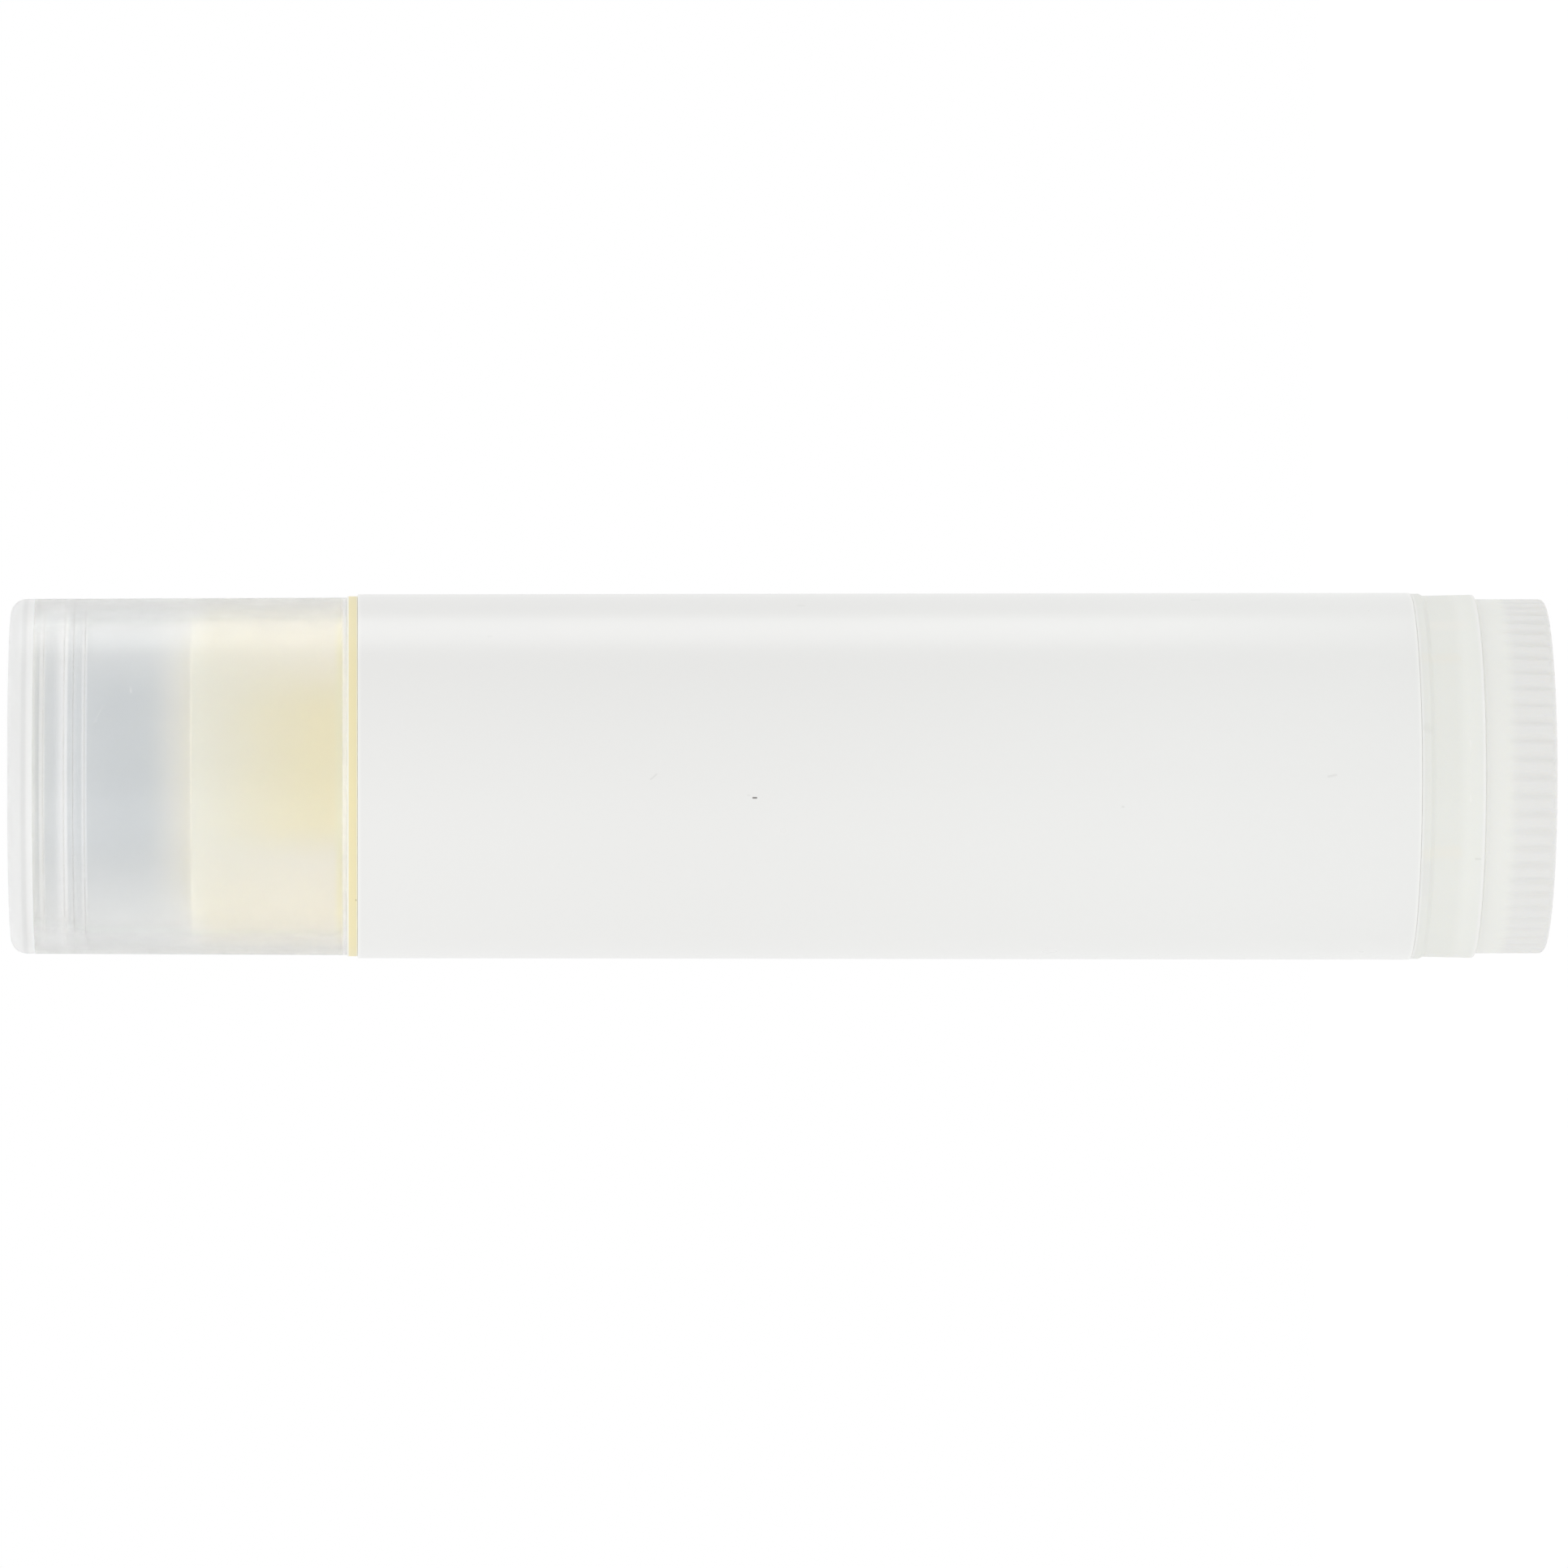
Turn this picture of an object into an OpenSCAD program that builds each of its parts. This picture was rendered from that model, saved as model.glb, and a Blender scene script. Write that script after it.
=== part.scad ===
// Twist-up lip balm: a barrel with a neck, a film label round it, a pull-off cap, a ribbed dial
// moulded in one with its screw, an elevator that the screw drives, and the stick of balm on it.
// It stands on its dial, with its axis on Z. All sizes are in millimetres.

/* [Barrel] */
// Bore that the stick slides in
bore_d = 12.4; // [10:0.1:16]
// Wall of the barrel at its lower rim
barrel_wall = 1.8; // [1.7:0.1:2.6]
// Diameter that the mould's draft takes off between the lower rim and the shoulder
barrel_draft = 0.18; // [0:0.02:0.3]
// Height of the bare band above the lower rim
band_h = 2.36; // [1.5:0.1:8]
// Height of the small ridge between the band and the label
ridge_h = 0.43; // [0.3:0.05:1]
// How far the ridge stands out
ridge_out = 0.05; // [0.02:0.01:0.12]
// Height of the panel that carries the label
panel_h = 46.28; // [40:0.5:80]
// How far the panel is sunk below the band and the bead
panel_sink = 0.08; // [0.02:0.01:0.12]
// Height of the rounded bead at the shoulder
bead_h = 0.47; // [0.35:0.05:1.2]
// Radius of the barrel's outer edges
barrel_edge_r = 0.12; // [0.05:0.01:0.15]
// Wall of the neck
neck_wall = 0.75; // [0.6:0.05:0.9]
// Height of the neck above the shoulder
neck_h = 6.8; // [5:0.1:12]
// Radius of the neck's outer edge
neck_edge_r = 0.2; // [0.05:0.05:0.4]
// Thickness of the barrel's floor
floor_t = 1.2; // [0.8:0.1:2]

/* [Guide ribs] */
// Number of ribs along the bore that keep the elevator from turning
guide_count = 4; // [2:1:6]
// Width of a rib
guide_w = 0.8; // [0.5:0.1:1.4]
// Height of a rib off the bore
guide_h = 0.4; // [0.3:0.05:0.6]
// Direction of the first rib, from +X towards +Y
guide_angle = 56; // [0:1:90]

/* [Label] */
// Thickness of the film
label_t = 0.16; // [0.05:0.01:0.2]
// Gap that the glue fills
glue_t = 0.01; // [0.005:0.005:0.03]
// Bare panel left above and below the label
label_margin = 0.06; // [0.02:0.02:2]
// Width by which the film's end overlaps its start
overlap_w = 3; // [1:0.5:6]
// Direction of the overlap, from +X towards +Y
overlap_angle = 135; // [45:15:135]

/* [Cap] */
// Side wall at the open end
cap_wall = 0.8; // [0.6:0.05:1]
// Thickness of the closed end
cap_end_t = 0.89; // [0.6:0.01:1.5]
// Free height between the neck's rim and the closed end
cap_room = 7.05; // [6:0.05:12]
// Outside diameter that the mould's draft takes off
cap_draft = 0.13; // [0:0.01:0.3]
// Radius of the outer corner at the closed end
cap_corner_r = 0.7; // [0.3:0.05:0.8]
// Radius of the outer edge at the open end
cap_edge_r = 0.15; // [0.05:0.05:0.25]
// Radial gap between the neck and the cap
cap_fit = 0.1; // [0.05:0.01:0.2]
// Gap between the shoulder and the cap's edge
cap_seat = 0.02; // [0.01:0.01:0.1]
// Width of the lead-in bevel inside the mouth
mouth_w = 0.25; // [0.1:0.05:0.4]
// Height of the lead-in bevel
mouth_h = 0.3; // [0.2:0.05:1]
// How far the bore narrows at each ring inside the closed end
ring_in = 0.12; // [0.05:0.01:0.15]
// First ring, below the closed end's inner face
ring_1 = 2.45; // [2.2:0.05:2.8]
// Second ring
ring_2 = 1.95; // [1.8:0.05:2.1]
// Third ring
ring_3 = 1.55; // [1.3:0.05:1.7]
// Fourth ring
ring_4 = 0.65; // [0.4:0.05:1.1]
// Fillet between the fourth ring and the inner face
crown_fillet_r = 0.3; // [0.1:0.05:0.35]

/* [Dial] */
// Height of the dial below the barrel
dial_h = 3.04; // [2.6:0.02:6]
// Gap between the dial and the barrel
dial_gap = 0.1; // [0.05:0.01:0.3]
// How far the dial's side is set in from the barrel's lower rim
dial_inset = 0.2; // [0.1:0.05:0.5]
// Thickness of the dial's end wall
dial_end_t = 1.2; // [0.8:0.1:2]
// Thickness of the dial's rim
dial_rim_t = 1.4; // [1:0.1:2]
// Radius of the corner at the dial's end
dial_corner_r = 0.25; // [0.1:0.05:0.4]
// Number of grip grooves
groove_count = 60; // [40:2:72]
// Length of a grip groove
groove_len = 2.2; // [1.5:0.1:2.3]
// Depth of a grip groove at the dial's end
groove_depth = 0.22; // [0.12:0.02:0.3]
// Depth of a grip groove where it stops
groove_top_depth = 0.06; // [0.04:0.01:0.1]
// Width of a grip groove at the dial's end
groove_w = 0.42; // [0.2:0.02:0.5]
// Diameter of the shallow dish in the dial's end
dish_d = 10.4; // [8:0.2:11]
// Depth of the dish
dish_depth = 0.3; // [0.1:0.05:0.5]

/* [Snap ring] */
// Diameter of the hub that passes through the barrel's floor
hub_d = 7; // [6:0.1:8]
// Radial gap between the hub and the floor's hole
hub_fit = 0.1; // [0.05:0.01:0.2]
// How far the ring above the floor stands out from the hub
snap_out = 0.45; // [0.3:0.05:0.8]
// Height of the ring
snap_h = 0.6; // [0.4:0.05:1]
// Gap between the floor and the ring
snap_gap = 0.1; // [0.05:0.01:0.2]

/* [Screw] */
// Rise of the elevator in one turn
lead = 3; // [2:0.5:5]
// Diameter over the thread
crest_d = 4.8; // [4:0.1:5.4]
// Depth of the thread
thread_depth = 0.6; // [0.4:0.05:0.9]
// Radial gap between the screw and the nut
thread_fit = 0.2; // [0.15:0.01:0.3]
// Rise of the elevator from its lowest to its highest place, with the cap off
full_travel = 38; // [30:1:60]
// Length over which the thread runs out at the tip
tip_len = 1.5; // [0.5:0.5:3]

/* [Elevator] */
// Gap between the snap ring and the elevator
lift_gap = 0.2; // [0.1:0.05:1]
// Radial gap between the elevator and the bore
slide_fit = 0.15; // [0.1:0.01:0.25]
// Height of the cup
cup_h = 5; // [3:0.5:8]
// Wall of the cup
cup_wall = 0.8; // [0.7:0.05:1.2]
// Floor of the cup
cup_floor_t = 1; // [0.6:0.1:2]
// Height of the nut
nut_h = 6; // [5:0.5:10]
// Wall of the nut outside its thread
nut_wall = 0.9; // [0.6:0.05:1.2]

/* [Balm] */
// Radial gap between the stick and the bore
balm_fit = 0.1; // [0.05:0.01:0.2]
// Depth of the stick's edge below the neck's rim
balm_drop = 0.25; // [0.1:0.05:2]
// Depth of the hollow that the balm cools to at its top
balm_dip = 0.3; // [0.1:0.05:0.6]
// Gap between the stick and the elevator
balm_seat = 0.02; // [0.01:0.01:0.1]
// Radial gap between the stick and the screw's crest
screw_clear = 0.3; // [0.2:0.05:0.6]

/* [Hidden] */
$fn = 96;
cut = 0.01;          // how far a cut runs past the face that it leaves
arc_steps = 5;       // straight pieces in a rounded edge
thread_sides = 12;   // points round the thread
thread_steps = 8;    // levels in one turn of the thread

// Heights above the dial's end face
barrel_z = dial_h + dial_gap;
floor_z = barrel_z + floor_t;
ridge_z = barrel_z + band_h;
panel_z = ridge_z + ridge_h;
bead_z = panel_z + panel_h;
shoulder_z = bead_z + bead_h;
neck_z = shoulder_z + neck_h;
snap_z = floor_z + snap_gap;
hub_z = snap_z + snap_h;
lift_z = hub_z + lift_gap;
screw_z = lift_z + nut_h + full_travel;
balm_z = neck_z - balm_drop;
cap_z = shoulder_z + cap_seat;
cap_in_z = neck_z + cap_room;
cap_out_z = cap_in_z + cap_end_t;

// Radii
bore_r = bore_d / 2;
rim_r = bore_r + barrel_wall;
neck_r = bore_r + neck_wall;
hub_r = hub_d / 2;
hole_r = hub_r + hub_fit;
dial_r = rim_r - dial_inset;
cap_in_r = neck_r + cap_fit;
cap_out_r = cap_in_r + cap_wall;
cap_top_r = cap_out_r - cap_draft / 2;
cup_r = bore_r - slide_fit;
cup_in_r = cup_r - cup_wall;
crest_r = crest_d / 2;
nut_r = crest_r + thread_fit + nut_wall;
balm_r = bore_r - balm_fit;

// Radius of the barrel's outside at a height, with the draft
function barrel_r(z) = rim_r - barrel_draft / 2 * (z - barrel_z) / (shoulder_z - barrel_z);

// Points of a round edge about a centre, from one angle to another
function arc(centre, r, from, to) =
    [for (i = [0:arc_steps]) let (a = from + (to - from) * i / arc_steps) centre + r * [cos(a), sin(a)]];

// Radius of the thread at an angle and a height: one crest that winds down to the left.
// The thread fades into its core over the last stretch below tip_z.
function thread_r(a, z, gap, tip_z) =
    let (half = thread_depth / 2, fade = min(1, max(0, (tip_z - z) / tip_len)))
    crest_r - thread_depth + gap + half * fade * (1 + cos(a + 360 * z / lead));

// A solid bounded by the thread's surface between two heights
module thread(low, high, gap, tip_z) {
    levels = ceil((high - low) / lead * thread_steps);
    points = [for (j = [0:levels], i = [0:thread_sides - 1])
        let (z = low + (high - low) * j / levels, a = 360 * i / thread_sides, r = thread_r(a, z, gap, tip_z))
        [r * cos(a), r * sin(a), z]];
    sides = [for (j = [0:levels - 1], i = [0:thread_sides - 1], half = [0, 1])
        let (n = (i + 1) % thread_sides, p = j * thread_sides, q = p + thread_sides)
        half == 0 ? [p + i, q + i, q + n] : [p + i, q + n, p + n]];
    bottom = [for (i = [0:thread_sides - 1]) i];
    top = [for (i = [thread_sides - 1:-1:0]) levels * thread_sides + i];
    polyhedron(points = points, faces = concat(sides, [bottom, top]));
}

// Bars on the lines of the guide ribs, from a radius outwards, widened by a gap on each side
module guide_bars(inner, outer, gap, low, high) {
    width = guide_w + 2 * gap;
    for (i = [0:guide_count - 1])
        rotate(guide_angle + 360 * i / guide_count)
            translate([inner, -width / 2, low]) cube([outer - inner, width, high - low]);
}

// Barrel: floor with the hub's hole, drafted wall with a ridge and a bead, neck and guide ribs
module barrel() color([0.92, 0.92, 0.9]) {
    ridge_r = barrel_r(ridge_z);
    ridge_top_r = barrel_r(panel_z);
    bead_r = barrel_r(bead_z);
    top_r = barrel_r(shoulder_z);
    e = barrel_edge_r;
    rotate_extrude() polygon(concat(
        [[hole_r, barrel_z]],
        arc([rim_r - e, barrel_z + e], e, -90, 0),
        [[ridge_r, ridge_z], [ridge_r + ridge_out, ridge_z + ridge_out]],
        [[ridge_top_r + ridge_out, panel_z - ridge_out], [ridge_top_r - panel_sink, panel_z]],
        arc([bead_r - panel_sink, bead_z + panel_sink], panel_sink, -90, 0),
        arc([top_r - e, shoulder_z - e], e, 0, 90),
        [[neck_r, shoulder_z]],
        arc([neck_r - neck_edge_r, neck_z - neck_edge_r], neck_edge_r, 0, 90),
        [[bore_r, neck_z], [bore_r, floor_z], [hole_r, floor_z]]));
    intersection() {
        guide_bars(bore_r - guide_h, bore_r + barrel_wall / 2, 0, floor_z - cut, shoulder_z);
        cylinder(r = bore_r + neck_wall / 2, h = shoulder_z);
    }
}

// One wrap of film between two gaps off the panel, which follows the barrel's draft
module film(inner, outer) {
    low = panel_z + label_margin;
    high = bead_z - label_margin;
    low_r = barrel_r(low) - panel_sink;
    high_r = barrel_r(high) - panel_sink;
    rotate_extrude() polygon([
        [low_r + inner, low], [low_r + outer, low], [high_r + outer, high], [high_r + inner, high]]);
}

// Label: one wrap of film, with its end laid over its start at the back
module label() color([0.95, 0.95, 0.95]) {
    film(glue_t, glue_t + label_t);
    intersection() {
        film(glue_t + label_t / 2, glue_t + 2 * label_t);
        rotate(overlap_angle) translate([0, -overlap_w / 2, 0]) cube([2 * rim_r, overlap_w, neck_z]);
    }
}

// Cap: a drafted shell with a lead-in at its mouth and narrowing rings inside its closed end
module cap() color([0.9, 0.93, 0.96, 0.6]) {
    rings = [ring_1, ring_2, ring_3, ring_4];
    last_r = cap_in_r - len(rings) * ring_in;
    rotate_extrude() polygon(concat(
        [[cap_in_r + mouth_w, cap_z]],
        arc([cap_out_r - cap_edge_r, cap_z + cap_edge_r], cap_edge_r, -90, 0),
        arc([cap_top_r - cap_corner_r, cap_out_z - cap_corner_r], cap_corner_r, 0, 90),
        [[0, cap_out_z], [0, cap_in_z]],
        arc([last_r - crown_fillet_r, cap_in_z - crown_fillet_r], crown_fillet_r, 90, 0),
        [for (i = [len(rings) - 1:-1:0], k = [1, 0])
            [cap_in_r - (i + k) * ring_in, cap_in_z - rings[i]]],
        [[cap_in_r, cap_z + mouth_h]]));
}

// Cutters of the grip grooves: a V each, deepest at the dial's end, that grows shallow up its side
module groove_cutters() {
    over = 2 * groove_depth;
    half = over * groove_w / 2 / groove_depth;
    tilt = atan((groove_depth - groove_top_depth) / groove_len);
    for (i = [0:groove_count - 1])
        rotate(360 * i / groove_count) translate([dial_r - groove_top_depth, 0, groove_len])
            rotate([0, tilt, 0]) translate([0, 0, -2 * groove_len])
                linear_extrude(2 * groove_len) polygon([[0, 0], [over, -half], [over, half]]);
}

// Turned form of the dial: dished end, rim, hub and the snap ring above the barrel's floor
module dial_body() {
    rim_in_r = dial_r - dial_rim_t;
    e = barrel_edge_r;
    rotate_extrude() polygon(concat(
        [[0, dish_depth], [dish_d / 2 - dish_depth, dish_depth], [dish_d / 2, 0]],
        arc([dial_r - dial_corner_r, dial_corner_r], dial_corner_r, -90, 0),
        arc([dial_r - e, dial_h - e], e, 0, 90),
        [[rim_in_r, dial_h], [rim_in_r, dial_end_t], [hub_r, dial_end_t], [hub_r, snap_z]],
        [[hub_r + snap_out, snap_z], [hub_r + snap_out, snap_z + snap_h / 2], [hub_r, hub_z], [0, hub_z]]));
}

// Dial and screw, moulded as one piece
module dial_screw() color([0.91, 0.91, 0.89]) {
    difference() {
        dial_body();
        groove_cutters();
    }
    thread(hub_z - snap_h / 2, screw_z, 0, screw_z);
}

// Elevator: a cup that carries the stick, with the nut in its middle and notches for the ribs
module elevator() color([0.93, 0.93, 0.92]) {
    difference() {
        union() {
            difference() {
                translate([0, 0, lift_z]) cylinder(r = cup_r, h = cup_h);
                translate([0, 0, lift_z + cup_floor_t]) cylinder(r = cup_in_r, h = cup_h);
            }
            translate([0, 0, lift_z]) cylinder(r = nut_r, h = nut_h);
        }
        thread(lift_z - cut, lift_z + nut_h + cut, thread_fit, screw_z);
        guide_bars(bore_r - guide_h - slide_fit, bore_r, slide_fit, lift_z - cut, lift_z + cup_h + cut);
    }
}

// Balm: the poured stick, keyed round the elevator and open round the screw, with a dipped top
module balm() color([0.94, 0.9, 0.7]) {
    rim_z = lift_z + cup_h + balm_seat;
    nut_top = lift_z + nut_h + balm_seat;
    foot_z = lift_z + cup_floor_t + balm_seat;
    dip_r = (balm_r * balm_r + balm_dip * balm_dip) / (2 * balm_dip);
    difference() {
        union() {
            translate([0, 0, foot_z]) cylinder(r = cup_in_r - balm_seat, h = rim_z - foot_z + cut);
            translate([0, 0, rim_z]) cylinder(r = balm_r, h = balm_z - rim_z);
        }
        translate([0, 0, foot_z - cut]) cylinder(r = nut_r + balm_seat, h = nut_top - foot_z + cut);
        translate([0, 0, foot_z - cut]) cylinder(r = crest_r + screw_clear, h = screw_z + screw_clear - foot_z);
        guide_bars(bore_r - guide_h - balm_fit, bore_r, balm_fit, foot_z, shoulder_z + balm_fit);
        translate([0, 0, balm_z - balm_dip + dip_r]) sphere(r = dip_r);
    }
}

barrel();
label();
cap();
dial_screw();
elevator();
balm();
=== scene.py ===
"""Looks of a twist-up lip balm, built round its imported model, in metres. Sizes are in millimetres and
are multiplied by MM where a mesh, lamp or camera is made. The barrel stands on its dial, axis on Z."""

import math

import bmesh
import bpy
import numpy as np
from mathutils import Matrix


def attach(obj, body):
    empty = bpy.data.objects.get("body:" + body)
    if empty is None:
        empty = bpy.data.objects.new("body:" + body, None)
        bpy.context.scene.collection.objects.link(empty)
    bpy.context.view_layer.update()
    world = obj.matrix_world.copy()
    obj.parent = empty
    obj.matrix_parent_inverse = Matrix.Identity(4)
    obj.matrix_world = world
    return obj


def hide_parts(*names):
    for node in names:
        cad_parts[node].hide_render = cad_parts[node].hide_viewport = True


MM = 0.001
bpy.context.scene.view_settings.view_transform = "Standard"
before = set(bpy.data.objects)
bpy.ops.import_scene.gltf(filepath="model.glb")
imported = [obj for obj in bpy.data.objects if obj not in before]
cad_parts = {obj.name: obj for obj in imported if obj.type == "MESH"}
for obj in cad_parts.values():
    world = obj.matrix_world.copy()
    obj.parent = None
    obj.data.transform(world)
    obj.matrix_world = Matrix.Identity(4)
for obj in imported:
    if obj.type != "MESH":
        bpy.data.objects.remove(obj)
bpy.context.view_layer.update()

# Heights above the dial's end face
DIAL_TOP = 3.135
RIM_Z = 3.14
FLOOR_Z = 4.34
RIDGE_Z = 5.50
PANEL_Z = 5.93
BEAD_Z = 52.21
SHOULDER_Z = 52.68
NECK_Z = 59.48
CAP_Z = 52.69
CAP_IN_Z = 66.53
CAP_TOP_Z = 67.42
SNAP_Z = 4.44
HUB_Z = 5.04
LIFT_Z = 5.24
SCREW_Z = 49.24
BALM_Z = 59.23

# Radii
BORE_R = 6.2
RIM_R = 8.0
NECK_R = 6.95
HUB_R = 3.5
HOLE_R = 3.6
DIAL_R = 7.8
CAP_IN_R = 7.05
CAP_OUT_R = 7.85
CAP_TOP_R = 7.785
BALM_R = 6.1
CORE_R = 1.8
DRAFT = 0.09

SIDES = 256
GROOVES = 60
GROOVE_DEPTH = 0.17
GROOVE_HALF = 0.27
RIBS = 4
RIB_ANGLE = 56
SEAM_ANGLE = 135
LAP = 0.15
LEAD = 3

# Camera and its distance from the axis
CAMERA_Z = 52.2
CAMERA_AWAY = 619
CAMERA_ACROSS = -0.34
AIM_Z = 33.46


# Shapes

def barrel_r(z):
    """Radius of the barrel's outside: it falls evenly by the draft from the rim to the shoulder."""
    return RIM_R - DRAFT * (z - RIM_Z) / (SHOULDER_Z - RIM_Z)


def cap_r(z):
    """Radius of the cap's outside: it falls evenly from the mouth to the closed end."""
    return CAP_OUT_R + (CAP_TOP_R - CAP_OUT_R) * (z - CAP_Z) / (CAP_TOP_Z - CAP_Z)


def outline(corners, closed=False, steps=6, hold=0.05):
    """Points of an outline through corners (radius, height, rounding).

    A corner with rounding becomes a circular arc that touches both of its runs: the arc is
    (a(1-t)^2 + 2w c t(1-t) + b t^2) / ((1-t)^2 + 2w t(1-t) + t^2), with a and b the touching points,
    c the corner and w the cosine of half the turn. Each run keeps a point close to both ends, so that
    its shading stays flat."""
    corners = np.array(corners, float)
    at, rounding = corners[:, :2], corners[:, 2]
    count = len(at)
    points = []
    for i in range(count):
        before, after = at[i - 1], at[(i + 1) % count]
        if rounding[i] == 0 or (not closed and i in (0, count - 1)):
            points.append(at[i][None])
            continue
        into, away = at[i] - before, after - at[i]
        into, away = into / np.linalg.norm(into), away / np.linalg.norm(away)
        half_turn = math.acos(max(-1.0, min(1.0, float(into @ away)))) / 2
        reach = rounding[i] * math.tan(half_turn)
        a, b, w = at[i] - into * reach, at[i] + away * reach, math.cos(half_turn)
        t = np.linspace(0, 1, steps + 1)[:, None]
        low, middle, high = (1 - t) ** 2, 2 * w * t * (1 - t), t ** 2
        points.append((a * low + at[i] * middle + b * high) / (low + middle + high))
    points = np.concatenate(points)
    ends = np.roll(points, -1, 0)
    runs = np.linalg.norm(ends - points, axis=1)
    if not closed:
        runs[-1] = 0
    share = (hold / np.maximum(runs, 1e-9))[:, None]
    near, far = points + (ends - points) * share, ends - (ends - points) * share
    rows = np.stack([points, near, far], 1)
    keep = np.stack([np.ones(len(runs), bool), runs > 4 * hold, runs > 4 * hold], 1)
    return rows[keep]


def spread(points, low, high, step):
    """The outline with points added at equal steps of height on its runs between two heights."""
    rows = [points[:1]]
    for a, b in zip(points[:-1], points[1:]):
        inside = min(a[1], b[1]) >= low - 1e-6 and max(a[1], b[1]) <= high + 1e-6
        count = max(1, int(abs(b[1] - a[1]) / step)) if inside else 1
        t = np.arange(1, count + 1)[:, None] / count
        rows.append(a + (b - a) * t)
    return np.concatenate(rows)


def turned(name, points, sides=SIDES, closed=False, relief=None):
    """A surface turned round the Z axis: point i, k lies at the angle 2 pi k / sides, at the height of
    outline point i and at its radius, which relief(radius, height, angle) may change. The outline
    keeps the solid on its left. A row on the axis becomes one point."""
    angle = np.arange(sides) * 2 * math.pi / sides
    r, z, a = np.broadcast_arrays(points[:, :1], points[:, 1:], angle[None])
    r = relief(r, z, a) if relief else r
    grid = np.stack([r * np.cos(a), r * np.sin(a), z], -1) * MM
    count = len(points)
    index = np.arange(count * sides).reshape(count, sides)
    rows = np.arange(count if closed else count - 1)
    low, high = index[rows], index[(rows + 1) % count]
    quads = np.stack([low, np.roll(low, -1, 1), np.roll(high, -1, 1), high], -1)
    mesh = bpy.data.meshes.new(name)
    mesh.from_pydata(grid.reshape(-1, 3).tolist(), [], quads.reshape(-1, 4).tolist())
    return finished(name, mesh)


def finished(name, mesh):
    """The object of a mesh, with its doubled points at the poles merged and its faces smooth."""
    work = bmesh.new()
    work.from_mesh(mesh)
    bmesh.ops.remove_doubles(work, verts=work.verts, dist=1e-7)
    work.to_mesh(mesh)
    work.free()
    mesh.polygons.foreach_set("use_smooth", np.ones(len(mesh.polygons), bool))
    piece = bpy.data.objects.new(name, mesh)
    bpy.context.scene.collection.objects.link(piece)
    return piece


def ramp(value, low, high):
    """0 below low, 1 above high, and 3t^2 - 2t^3 between them."""
    t = np.clip((value - low) / (high - low), 0, 1)
    return t * t * (3 - 2 * t)


def rib(radius, angle, width):
    """1 on the lines of the guide ribs and 0 away from them, over that width along the round."""
    turn = 2 * math.pi / RIBS
    off = np.abs((angle - math.radians(RIB_ANGLE) + turn / 2) % turn - turn / 2) * radius
    return 1 - ramp(off, width / 2 - 0.08, width / 2 + 0.08)


# Camera at the photograph's place: level, and rolled so that the tube's axis lies across

TILT = math.atan((CAMERA_Z - AIM_Z) / CAMERA_AWAY)
lens = bpy.data.cameras.new("photo_camera")
lens.sensor_width, lens.lens = 36, 323.2
lens.clip_start, lens.clip_end = 0.05, 10
camera = bpy.data.objects.new("photo_camera", lens)
bpy.context.scene.collection.objects.link(camera)
camera.matrix_world = Matrix((
    (0, 1, 0, CAMERA_ACROSS * MM),
    (-math.sin(TILT), 0, -math.cos(TILT), -CAMERA_AWAY * MM),
    (-math.cos(TILT), 0, math.sin(TILT), CAMERA_Z * MM),
    (0, 0, 0, 1)))
bpy.context.scene.camera = camera


# Pieces

def barrel_relief(r, z, a):
    """The bore narrows by 0.4 mm on the guide ribs, up to the shoulder."""
    bore = (np.abs(r - BORE_R) < 0.01) & (z > FLOOR_Z + 0.01)
    return r - bore * 0.4 * rib(r, a, 0.8) * (1 - ramp(z, SHOULDER_Z - 0.3, SHOULDER_Z))


barrel_line = outline([
    (HOLE_R, RIM_Z, 0.1), (RIM_R, RIM_Z, 0.04),
    (barrel_r(RIDGE_Z) - 0.045, RIDGE_Z - 0.14, 0.12), (barrel_r(RIDGE_Z) + 0.05, RIDGE_Z + 0.03, 0.08),
    (barrel_r(PANEL_Z) + 0.05, PANEL_Z, 0.03), (barrel_r(PANEL_Z) - 0.08, PANEL_Z, 0.02),
    (barrel_r(BEAD_Z) - 0.08, BEAD_Z, 0.02), (barrel_r(BEAD_Z), BEAD_Z, 0.015),
    (barrel_r(SHOULDER_Z), SHOULDER_Z, 0.06), (NECK_R + 0.02, SHOULDER_Z, 0.08),
    (NECK_R - 0.02, NECK_Z, 0.12), (BORE_R, NECK_Z, 0.12),
    (BORE_R, SHOULDER_Z, 0), (BORE_R, SHOULDER_Z - 0.3, 0), (BORE_R, FLOOR_Z, 0.02),
    (HOLE_R, FLOOR_Z, 0.1)], closed=True)
barrel = turned("tube_barrel", barrel_line, closed=True, relief=barrel_relief)

FILM_LOW, FILM_HIGH = PANEL_Z + 0.004, BEAD_Z - 0.004


def label_relief(r, z, a):
    """The film's free end lies over its start, 3 mm wide at the back: a step at the end's cut edge and
    a slow rise where it climbs over the start."""
    outer = r > barrel_r(z) - 0.02
    along = ((a - math.radians(SEAM_ANGLE) + math.pi) % (2 * math.pi) - math.pi) * r
    rise = ramp(along, -1.9, -1.2) * (1 - ramp(along, 1.42, 1.58))
    return r + outer * LAP * rise


label_line = outline([
    (barrel_r(FILM_LOW) - 0.07, FILM_LOW, 0), (barrel_r(FILM_LOW) + 0.085, FILM_LOW, 0.03),
    (barrel_r(FILM_HIGH) + 0.085, FILM_HIGH, 0.04), (barrel_r(FILM_HIGH) - 0.07, FILM_HIGH, 0)],
    closed=True)
label = turned("wrap_label", label_line, sides=384, closed=True, relief=label_relief)

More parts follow.
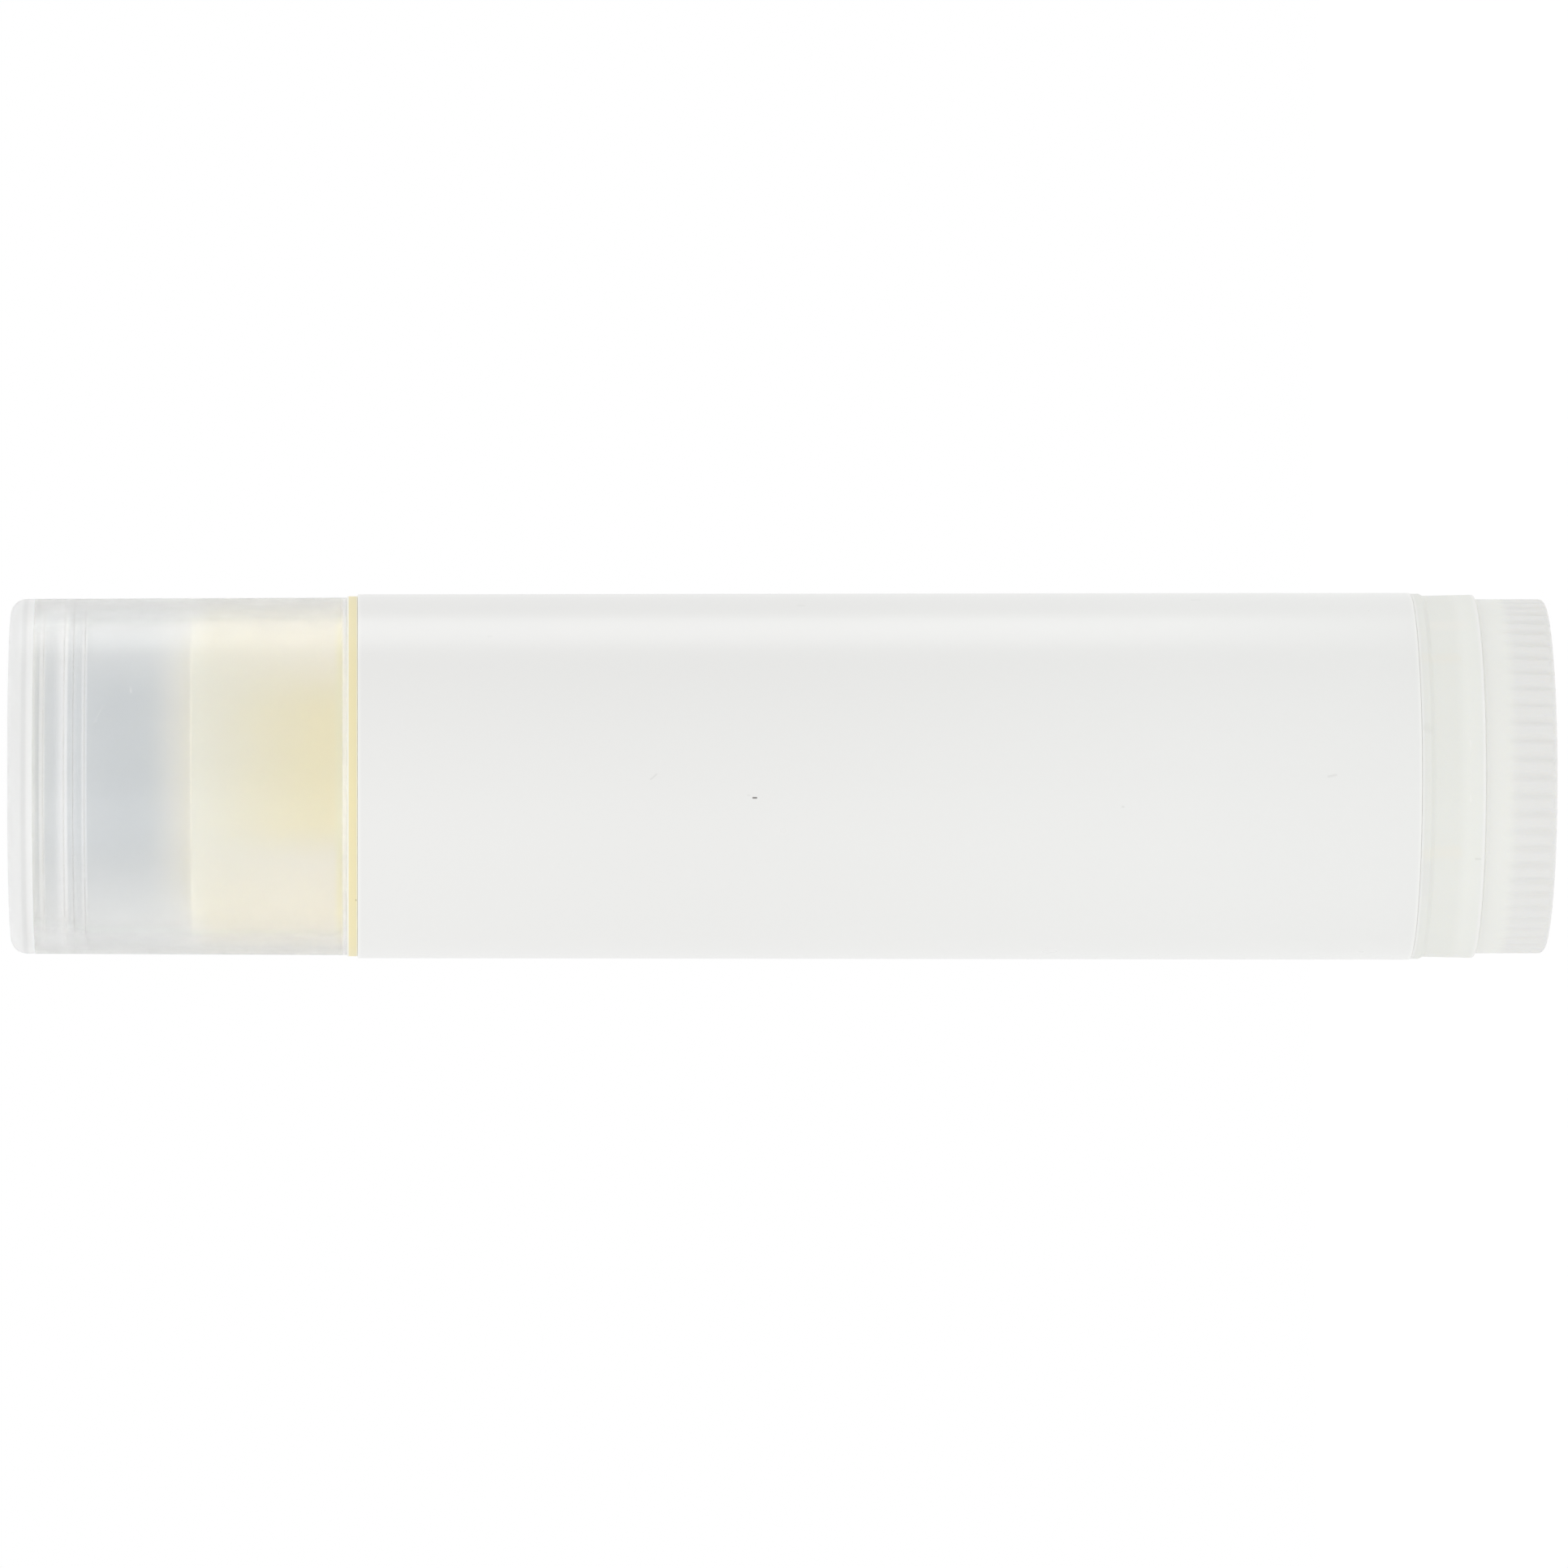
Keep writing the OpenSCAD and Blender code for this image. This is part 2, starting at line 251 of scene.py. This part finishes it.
RING_Z = [CAP_IN_Z - drop for drop in (0.65, 1.55, 1.95, 2.45)]
rings = [(CAP_IN_R - (4 - k - side) * 0.12, height, 0.02)
         for k, height in enumerate(RING_Z) for side in (0, 1)]
cap_line = outline([
    (0, CAP_IN_Z, 0), (CAP_IN_R - 0.48, CAP_IN_Z, 0.14), *rings,
    (CAP_IN_R, CAP_Z, 0.14), (CAP_OUT_R, CAP_Z, 0.03),
    (CAP_OUT_R, CAP_Z + 0.16, 0), (cap_r(CAP_IN_Z - 0.19), CAP_IN_Z - 0.19, 0),
    (CAP_TOP_R, CAP_TOP_Z, 0.7), (1.0, CAP_TOP_Z, 0.1), (0.75, CAP_TOP_Z - 0.14, 0.1),
    (0.3, CAP_TOP_Z - 0.14, 0.05), (0.2, CAP_TOP_Z - 0.04, 0.05), (0, CAP_TOP_Z - 0.04, 0)])
cap = turned("pull_cap", cap_line)


def dial_relief(r, z, a):
    """The grip grooves: one wave 1 + cos every sixtieth of a turn, deepest at the dial's end, that
    grows shallow upwards and runs out below the collar."""
    pitch = 2 * math.pi / GROOVES
    off = np.abs((a + pitch / 2) % pitch - pitch / 2) * DIAL_R
    depth = GROOVE_DEPTH * (1 - 0.5 * z / 2.2) * (1 - ramp(z, 1.6, 2.3))
    cut = depth * (1 + np.cos(math.pi * np.clip(off / GROOVE_HALF, 0, 1))) / 2
    side = (r > DIAL_R - 0.6) & (z < 2.5)
    return np.where(side, np.minimum(r, DIAL_R - cut), r)


dial_line = outline([
    (0, 0.22, 0), (0.5, 0.22, 0.05), (0.65, 0.3, 0.05), (4.9, 0.3, 0.1), (5.2, 0, 0.12),
    (DIAL_R, 0, 0.25), (DIAL_R, DIAL_TOP, 0.03), (DIAL_R - 1.4, DIAL_TOP, 0.1),
    (DIAL_R - 1.4, 1.2, 0.1), (HUB_R, 1.2, 0.1), (HUB_R, SNAP_Z, 0.03), (HUB_R + 0.45, SNAP_Z, 0.08),
    (HUB_R + 0.45, SNAP_Z + 0.3, 0.1), (HUB_R, HUB_Z, 0.05), (0, HUB_Z, 0)], steps=4)
dial_line = spread(dial_line, 0.25, 3.1, 0.2)
dial = turned("grip_dial", dial_line, sides=GROOVES * 14, relief=dial_relief)


def thread_relief(r, z, a):
    """One round crest with a left-handed lead: half the depth times 1 + cos(angle + 2 pi z / lead), which
    fades into the core over the last 1.5 mm below the tip."""
    fade = np.clip((SCREW_Z - z) / 1.5, 0, 1)
    crest = CORE_R + 0.3 * fade * (1 + np.cos(a + 2 * math.pi * z / LEAD))
    return np.where(r > 1, crest, r)


thread_line = spread(np.array([
    (0, HUB_Z - 0.3), (CORE_R, HUB_Z - 0.3), (CORE_R, SCREW_Z), (0, SCREW_Z)]), HUB_Z - 0.3, SCREW_Z, 0.2)
screw = turned("drive_screw", thread_line, sides=40, relief=thread_relief)


def balm_relief(r, z, a):
    """The stick is keyed to the guide ribs below the neck."""
    outer = (r > BALM_R - 0.05) & (z > LIFT_Z + 5)
    return r - outer * 0.42 * rib(BORE_R, a, 1.0) * (1 - ramp(z, SHOULDER_Z - 0.2, SHOULDER_Z + 0.1))


dish = np.linspace(5.75, 0, 14)
balm_line = outline([
    (0, SCREW_Z + 0.3, 0), (2.7, SCREW_Z + 0.3, 0.4), (2.7, 11.26, 0.05), (3.52, 11.26, 0.05),
    (3.52, 6.26, 0.05), (5.23, 6.26, 0.1), (5.23, 10.26, 0.02), (BALM_R, 10.26, 0.1),
    (BALM_R, SHOULDER_Z - 0.2, 0), (BALM_R, SHOULDER_Z + 0.1, 0), (BALM_R, BALM_Z, 0.22),
    *[(x, BALM_Z - 0.3 * (1 - (x / 6.0) ** 2), 0) for x in dish]])
balm = turned("balm_stick", balm_line, relief=balm_relief)


# Materials

class Field:
    """An output of a node tree, for expressions: each operator adds a Math node."""

    def __init__(self, tree, socket=None):
        self.tree, self.socket = tree, socket

    def add(self, kind, settings=None, inputs=None, output=0):
        """The output of a new node: its settings first, then the values or links of its sockets."""
        node = self.tree.nodes.new("ShaderNode" + kind)
        for key, value in (settings or {}).items():
            if key == "stops":
                while len(node.color_ramp.elements) < len(value):
                    node.color_ramp.elements.new(1)
                for element, (place, colour) in zip(node.color_ramp.elements, value):
                    element.position, element.color = place, colour
            else:
                setattr(node, key, value)
        for key, value in (inputs or {}).items():
            if isinstance(value, Field):
                self.tree.links.new(value.socket, node.inputs[key])
            else:
                node.inputs[key].default_value = value
        return Field(self.tree, node.outputs[output])

    def maths(self, operation, *values):
        return self.add("Math", {"operation": operation}, dict(enumerate((self, *values))))

    def __add__(self, other):
        return self.maths("ADD", other)

    def __mul__(self, other):
        return self.maths("MULTIPLY", other)

    def __sub__(self, other):
        return self.maths("SUBTRACT", other)

    def __rsub__(self, other):
        return (self * -1) + other

    __radd__, __rmul__ = __add__, __mul__

    def rise(self, low, high):
        """0 below low, 1 above high, and smooth between them."""
        return self.add("MapRange", {"interpolation_type": "SMOOTHSTEP"},
                        {"Value": self, "From Min": low, "From Max": high})

    def blend(self, first, second):
        """The mix of two colours by this field."""
        return self.add("Mix", {"data_type": "RGBA"}, {0: self, 6: first, 7: second}, 2)


def rgb(r, g, b):
    return (r, g, b, 1)


def start(name):
    """A new material, its Principled node, its place in mm as a vector, and that place's X, Y and Z."""
    material = bpy.data.materials.new(name)
    material.use_nodes = True
    tree = material.node_tree
    surface = tree.nodes["Principled BSDF"]
    root = Field(tree)
    place = root.add("VectorMath", {"operation": "SCALE"},
                     {0: root.add("TexCoord", output="Object"), "Scale": 1 / MM})
    parts = [root.add("SeparateXYZ", inputs={0: place}, output=i) for i in range(3)]
    return material, surface, place, parts


def noise(place, size, detail=2.0):
    """Noise about 0.5 with lumps of that size in mm."""
    return place.add("TexNoise", inputs={"Vector": place, "Scale": 1 / size, "Detail": detail})


def set_surface(surface, **values):
    """Constants on the Principled node's own sockets, and links for fields."""
    for key, value in values.items():
        socket = surface.inputs[key.replace("_", " ")]
        if isinstance(value, Field):
            value.tree.links.new(value.socket, socket)
        else:
            socket.default_value = value


def bump(height, distance):
    return height.add("Bump", inputs={"Height": height, "Distance": distance * MM})


def stroke(place, start_at, end_at, width):
    """1 on a fine stroke between two points in mm and 0 away from it: the distance from place to the
    nearest point of the line between them, against the stroke's width."""
    first, run = np.array(start_at), np.array(end_at) - np.array(start_at)
    off = place.add("VectorMath", {"operation": "SUBTRACT"}, {0: place, 1: first})
    share = off.add("VectorMath", {"operation": "DOT_PRODUCT"},
                    {0: off, 1: run / (run @ run)}, "Value").maths("MAXIMUM", 0).maths("MINIMUM", 1)
    nearest = off.add("VectorMath", {"operation": "SCALE"}, {0: run, "Scale": share})
    gap = off.add("VectorMath", {"operation": "DISTANCE"}, {0: off, 1: nearest}, "Value")
    return 1 - gap.rise(width * 0.2, width)


def draw(place, tone, strokes):
    """A colour with strokes on it, fine marks and painted highlights, each given as its two ends, width,
    strength and colour.
    """
    for start_at, end_at, width, strength, colour in strokes:
        tone = (stroke(place, start_at, end_at, width) * strength).blend(tone, colour)
    return tone


def band(height, low, high, edge):
    """1 between two heights and 0 outside them, with edges of that width."""
    return height.rise(low - edge / 2, low + edge / 2) * (1 - height.rise(high - edge / 2, high + edge / 2))


GREY, DARK, PALE = rgb(0.55, 0.55, 0.53), rgb(0.12, 0.11, 0.10), rgb(1, 1, 0.98)
BEAD_DOT = ((-5.39, -5.79, 52.26), (-5.44, -5.74, 52.20), 0.07, 0.8, rgb(0.3, 0.22, 0.05))
# Marks and painted highlights on the band: the two pale strokes near the rim and the last, warm stroke are
# painted highlights; the rest are marks.
BAND_MARKS_AND_HIGHLIGHTS = [
    ((3.26, -7.31, 3.18), (2.34, -7.65, 3.19), 0.07, 0.7, PALE),
    ((1.53, -7.85, 3.82), (-1.08, -7.92, 3.82), 0.06, 0.35, PALE),
    ((-3.61, -7.14, 3.52), (-3.61, -7.14, 3.35), 0.08, 0.22, GREY),
    ((2.10, -7.72, 5.72), (2.02, -7.74, 5.60), 0.3, 0.10, GREY),
    ((5.15, -6.12, 5.60), (5.15, -6.12, 4.40), 0.45, 0.35, rgb(0.90, 0.87, 0.78)),
    ((-3.34, -7.26, 5.60), (-3.34, -7.26, 4.40), 0.5, 0.35, rgb(0.91, 0.88, 0.78)),
    ((-3.9, -6.98, 5.65), (-5.0, -6.24, 5.65), 0.4, 0.25, rgb(0.80, 0.80, 0.80)),
    ((6.62, -4.49, 5.0), (6.62, -4.49, 4.0), 0.6, 0.3, rgb(0.95, 0.92, 0.86))]
LABEL_MARKS = [
    ((-0.13, -8.02, 39.48), (0.08, -8.02, 39.24), 0.06, 0.25, GREY),
    ((-0.94, -7.98, 35.04), (-0.94, -7.98, 34.90), 0.06, 0.9, DARK),
    ((-0.83, -7.99, 35.26), (-0.83, -7.99, 35.20), 0.07, 0.15, GREY),
    ((-0.01, -8.08, 10.02), (0.05, -8.08, 9.70), 0.08, 0.22, GREY),
    ((-1.33, -7.95, 18.98), (-1.33, -7.95, 18.94), 0.07, 0.25, GREY),
    ((7.74, -2.27, 15.6), (7.74, -2.27, 15.3), 0.15, 0.12, GREY),
    ((7.48, -2.94, 32.9), (7.48, -2.94, 32.7), 0.15, 0.12, GREY),
    ((6.10, -5.19, 46.5), (6.10, -5.19, 46.4), 0.12, 0.08, GREY)]
CAP_MARKS = [
    ((3.86, -6.79, 62.07), (3.64, -6.91, 62.06), 0.06, 0.9, PALE),
    ((2.35, -7.44, 63.62), (3.04, -7.19, 63.27), 0.05, 0.4, PALE),
    ((-6.14, -4.79, 66.65), (-6.00, -4.97, 66.51), 0.08, 0.3, GREY),
    ((-6.00, -4.97, 66.51), (-5.93, -5.06, 66.30), 0.06, 0.3, GREY)]


def frost(surface, place, tone, lumps):
    """The finish of the frosted pieces: faint clouds in the colour, fine grain and a little depth."""
    tone = (noise(place, lumps) * 0.12).blend(tone, rgb(0.7, 0.7, 0.66))
    grain = noise(place, 0.09, 3)
    set_surface(surface, Base_Color=tone, Roughness=0.42 + grain * 0.12, IOR=1.49,
                Subsurface_Weight=0.15, Subsurface_Radius=(1.0, 0.9, 0.7), Subsurface_Scale=0.8 * MM,
                Normal=bump(grain, 0.006))


def frosted_barrel():
    """Milky plastic, honey-coloured at the bead and paler on the shoulder's edge. Its painted light: a
    paler band below the bore's floor, and painted highlights on the edges at the rim, at the panel and on
    the bead's lower line. The neck is pale at its end and warmer towards its root, most of all on the
    middle of the camera's side: its two sides along X are painted paler and its root lighter, as painted
    light."""
    material, surface, place, (x, y, z) = start("frosted_barrel")
    # Painted glow: the band is painted paler below the height of the bore's floor.
    painted_glow_below_floor = 1 - z.rise(FLOOR_Z - 0.5, FLOOR_Z + 0.1)
    tone = painted_glow_below_floor.blend(rgb(0.87, 0.88, 0.835), rgb(0.91, 0.92, 0.875))
    # Painted highlights: the edges at the rim and at the panel are painted paler, against the shade of the
    # gaps beside them.
    painted_edge_light = (1 - z.rise(RIM_Z + 0.05, RIM_Z + 0.2)) + z.rise(PANEL_Z - 0.16, PANEL_Z - 0.04)
    tone = painted_edge_light.blend(tone, rgb(0.97, 0.97, 0.94))
    # Marks and painted highlights on the band.
    tone = draw(place, tone, BAND_MARKS_AND_HIGHLIGHTS)
    bead = z.rise(BEAD_Z - 0.1, BEAD_Z - 0.05)
    tone = bead.blend(tone, draw(place, rgb(0.90, 0.80, 0.48), [BEAD_DOT]))
    # Painted highlight: a lighter line on the bead's lower edge, against the shade beside the film's top.
    tone = band(z, BEAD_Z - 0.1, BEAD_Z + 0.05, 0.03).blend(tone, rgb(0.97, 0.92, 0.72))
    tone = z.rise(SHOULDER_Z - 0.12, SHOULDER_Z - 0.04).blend(tone, rgb(0.97, 0.96, 0.88))
    # Painted light: the neck's two sides along X are painted paler, so that only its middle keeps the deep
    # honey colour.
    sides = (1 - x.rise(-3.8, -1.8)) + x.rise(2.5, 5.5)
    honey = sides.blend(rgb(0.99, 0.857, 0.535), rgb(0.98, 0.895, 0.75))
    warm = z.rise(NECK_Z + 1, SHOULDER_Z + 0.5)
    # Painted light: a lighter band at the neck's root, against the shade of the cap's mouth.
    root = 1 - z.rise(SHOULDER_Z + 0.3, SHOULDER_Z + 0.6)
    neck_tone = root.blend(warm.blend(rgb(0.95, 0.895, 0.755), honey), rgb(1, 0.91, 0.62))
    tone = z.rise(SHOULDER_Z, SHOULDER_Z + 0.06).blend(tone, neck_tone)
    frost(surface, place, tone, 2.5)
    return material


def frosted_dial():
    """The same plastic, greyer on the grooves than on the collar, with a painted highlight along its top
    edge.
    """
    material, surface, place, (x, y, z) = start("frosted_dial")
    tone = z.rise(1.6, 2.2).blend(rgb(0.875, 0.875, 0.86), rgb(0.92, 0.925, 0.885))
    # Painted highlight along the dial's top edge.
    tone = z.rise(DIAL_TOP - 0.2, DIAL_TOP - 0.05).blend(tone, rgb(0.99, 0.99, 0.95))
    frost(surface, place, tone, 2.0)
    return material


def label_film():
    """White satin film, painted lighter towards the dial against the floor's shade, so that it is a little
    greyer towards the bead, and with its cut edges painted paler as highlights.
    """
    material, surface, place, (x, y, z) = start("label_film")
    cloud = noise(place, 6.0)
    # Painted light: the film is lighter towards the dial, against the floor's shade near the base.
    tone = z.rise(6, 45).blend(rgb(0.89, 0.895, 0.88), rgb(0.845, 0.845, 0.83))
    tone = (cloud * 0.08).blend(tone, rgb(0.78, 0.78, 0.77))
    # Painted highlights: the film's cut edges are painted paler.
    painted_edge_light = (1 - z.rise(FILM_LOW + 0.02, FILM_LOW + 0.2)) * 0.8 + z.rise(FILM_HIGH - 0.2, FILM_HIGH) * 0.5
    tone = painted_edge_light.blend(tone, rgb(0.95, 0.955, 0.93))
    tone = draw(place, tone, LABEL_MARKS)
    skin = noise(place, 1.5, 2)
    set_surface(surface, Base_Color=tone, Roughness=0.26 + skin * 0.06, IOR=1.5,
                Normal=bump(skin, 0.001))
    return material


def cap_plastic():
    """Milky clear plastic, with painted light: pale lines round its closed end where the inner steps would
    catch the light, a faint glow painted on the wall just beyond the neck's end, a tint lighter over the
    neck and on the -X side, and a sheen painted on the walls where they are seen edge on."""
    material, surface, place, (x, y, z) = start("cap_plastic")
    cloud = noise(place, 3.0)
    tone = cloud.blend(rgb(0.765, 0.785, 0.802), rgb(0.785, 0.805, 0.82))
    # Painted light: the tint is lighter over the neck and lighter again on the -X side.
    low = 1 - z.rise(NECK_Z - 0.4, NECK_Z)
    side = 1 - x.rise(-4.5, -2.5)
    tone = side.blend(low.blend(tone, rgb(0.79, 0.81, 0.826)), rgb(0.81, 0.825, 0.835))
    # Painted highlights: pale lines round the closed end where the inner steps catch the light.
    crown = z.rise(CAP_IN_Z - 0.45, CAP_IN_Z - 0.15) * 0.8
    first = band(z, RING_Z[0] - 0.08, RING_Z[0] + 0.16, 0.08) * 0.7
    second = (1 - z.rise(RING_Z[1] - 0.1, RING_Z[1] + 0.5)) * z.rise(RING_Z[1] - 0.19, RING_Z[1] - 0.14)
    third = band(z, RING_Z[2] - 0.16, RING_Z[2] + 0.06, 0.08) * 0.12
    fourth = band(z, RING_Z[3] - 0.12, RING_Z[3] + 0.12, 0.06) * 0.5
    glow = z.rise(RING_Z[3] - 0.15, RING_Z[3]) * 0.1 + crown + first + second + third + fourth
    tone = glow.blend(tone, rgb(0.99, 0.99, 0.995))
    # Painted glow on the wall just beyond the neck's end.
    painted_halo = z.rise(NECK_Z - 0.1, NECK_Z) * (1 - z.rise(NECK_Z, NECK_Z + 2.1))
    tone = painted_halo.blend(tone, rgb(0.88, 0.876, 0.85))
    # Painted sheen: the walls are painted paler where they are seen edge on, and a little less pale at the
    # very rim.
    facing = place.add("LayerWeight", inputs={"Blend": 0.5}, output="Facing")
    pale = z.rise(NECK_Z - 1, NECK_Z).blend(rgb(0.955, 0.94, 0.88), rgb(0.99, 0.995, 0.99))
    pale = z.rise(RING_Z[3] - 0.3, RING_Z[3] - 0.1).blend(pale, rgb(0.93, 0.935, 0.935))
    pale = (facing.rise(0.58, 0.72) * 0.6).blend(pale, rgb(0.87, 0.87, 0.84))
    tone = facing.rise(0.05, 0.5).blend(tone, glow.blend(pale, rgb(1, 1, 0.99)))
    tone = draw(place, tone, CAP_MARKS)
    wave = noise(place, 1.5, 1)
    set_surface(surface, Base_Color=tone, Roughness=0.22 + wave * 0.06, IOR=1.49,
                Transmission_Weight=0.95)
    return material


def cap_edge_plastic(name, clearness):
    """The same plastic where it is thick or cut square, at the closed end and round the mouth: there it
    scatters more light and looks whiter."""
    material, surface, place, (x, y, z) = start(name)
    cloud = noise(place, 3.0)
    tone = cloud.blend(rgb(0.95, 0.955, 0.955), rgb(0.98, 0.98, 0.98))
    tone = band(z, CAP_IN_Z + 0.08, CAP_IN_Z + 0.3, 0.15).blend(tone, rgb(0.86, 0.865, 0.865))
    wave = noise(place, 1.5, 1)
    set_surface(surface, Base_Color=tone, Roughness=0.28 + wave * 0.06, IOR=1.49,
                Transmission_Weight=clearness)
    return material


def balm_wax():
    """Smooth pale yellow wax with faint clouds."""
    material, surface, place, parts = start("balm_wax")
    tone = (noise(place, 2.2) * 0.3).blend(rgb(0.90, 0.83, 0.55), rgb(0.86, 0.76, 0.45))
    fine = noise(place, 0.4, 4)
    set_surface(surface, Base_Color=tone, Roughness=0.38 + fine * 0.12, IOR=1.44,
                Subsurface_Weight=0.3, Subsurface_Radius=(1.2, 1.0, 0.5), Subsurface_Scale=1.2 * MM,
                Normal=bump(fine, 0.02))
    return material


def dress(piece, material, body, slot, *nodes):
    """Gives a piece its material and its body, and hides the nodes that it stands for. The slot is not
    used.
    """
    piece.data.materials.clear()
    piece.data.materials.append(material)
    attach(piece, body)
    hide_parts(*nodes)


def dress_ends(piece, low, high, outside, inside):
    """Gives materials of their own to the cap's faces that lie below the first or above the second
    height, in mm, of the two pairs: one for its outside and one for its inside."""
    mesh = piece.data
    mesh.materials.append(low)
    mesh.materials.append(high)
    x, y, z = np.array([polygon.center for polygon in mesh.polygons]).T / MM
    within = np.hypot(x, y) < CAP_IN_R + 0.2
    below = z < np.where(within, inside[0], outside[0])
    above = z > np.where(within, inside[1], outside[1])
    mesh.polygons.foreach_set("material_index", (below + 2 * above).astype(np.int32))


barrel_mat, dial_mat = frosted_barrel(), frosted_dial()
dress(barrel, barrel_mat, "tube", "frosted_plastic", "barrel")
dress(label, label_film(), "tube", "label_film", "label")
dress(cap, cap_plastic(), "cap", "clear_frosted_plastic", "cap")
dress_ends(cap, cap_edge_plastic("cap_mouth", 0.65), cap_edge_plastic("cap_end", 0.35),
           (CAP_Z + 0.15, CAP_IN_Z - 0.19), (CAP_Z + 0.18, CAP_IN_Z - 0.16))
dress(dial, dial_mat, "dial", "frosted_plastic", "dial_screw")
dress(screw, dial_mat, "dial", "frosted_plastic", "dial_screw")
dress(balm, balm_wax(), "carriage", "balm", "balm")
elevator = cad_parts["elevator"]
elevator.data.materials.clear()
elevator.data.materials.append(dial_mat)


# Floor, air and lamps

# The air's strength for light that bounces off a matte surface, in the open and through the cap
AIR = 0.93
INSIDE = 2.8
# The floor's own light, and its share where the floor is seen
FLOOR_GLOW = 1.08
FLOOR_SHARE = 0.75

pale_floor = turned("pale_floor", np.array([(150, 0), (40, 0), (10, 0), (DIAL_R + 0.05, 0)]), sides=96)
floor_mat = bpy.data.materials.new("pale_floor")
floor_mat.use_nodes = True
floor_tree = floor_mat.node_tree
floor_tree.nodes.clear()
root = Field(floor_tree)
path = floor_tree.nodes.new("ShaderNodeLightPath")
seen = Field(floor_tree, path.outputs["Is Camera Ray"]) + Field(floor_tree, path.outputs["Is Glossy Ray"]) \
    + Field(floor_tree, path.outputs["Is Transmission Ray"])
matte = root.add("BsdfDiffuse", inputs={"Color": rgb(0.9, 0.9, 0.9)})
glow = root.add("Emission", inputs={"Color": rgb(1, 1, 1), "Strength": FLOOR_GLOW})
lit = root.add("MixShader", inputs={0: seen * FLOOR_SHARE, 1: matte, 2: glow})
clear = root.add("BsdfTransparent")
back = root.add("NewGeometry", output="Backfacing")
out = root.add("MixShader", inputs={0: back, 1: lit, 2: clear})
end = floor_tree.nodes.new("ShaderNodeOutputMaterial")
floor_tree.links.new(out.socket, end.inputs[0])
pale_floor.data.materials.append(floor_mat)

world = bpy.data.worlds.new("white_air")
bpy.context.scene.world = world
world.use_nodes = True
world.cycles.sampling_method = "NONE"
air_tree = world.node_tree
path = air_tree.nodes.new("ShaderNodeLightPath")
through = Field(air_tree, path.outputs["Is Transmission Ray"])
lighting = Field(air_tree, path.outputs["Diffuse Depth"]).maths("MINIMUM", 1)
strength = 1 + lighting * ((AIR - 1) + through * (INSIDE - AIR))
background = air_tree.nodes["Background"]
background.inputs["Color"].default_value = rgb(1, 1, 1)
air_tree.links.new(strength.socket, background.inputs["Strength"])


def softbox(name, angle, distance, height, width, tall, power):
    """An area lamp beside the tube: angle is measured from the camera's side towards +X, in degrees."""
    lamp = bpy.data.lights.new(name, "AREA")
    lamp.shape, lamp.size, lamp.size_y, lamp.energy = "RECTANGLE", width * MM, tall * MM, power
    box = bpy.data.objects.new(name, lamp)
    bpy.context.scene.collection.objects.link(box)
    a = math.radians(angle)
    out = np.array([math.sin(a), -math.cos(a), 0])
    box.matrix_world = Matrix((
        (math.cos(a), 0, out[0], out[0] * distance * MM),
        (math.sin(a), 0, out[1], out[1] * distance * MM),
        (0, 1, 0, height * MM),
        (0, 0, 0, 1)))
    box.visible_camera = False
    return box


rim = softbox("rim_softbox", 104, 300, 34, 150, 400, 0.28)
rim.visible_diffuse = False
rim.visible_transmission = False
front = softbox("front_softbox", -30, 600, 34, 400, 400, 0.4)
front.visible_glossy = False
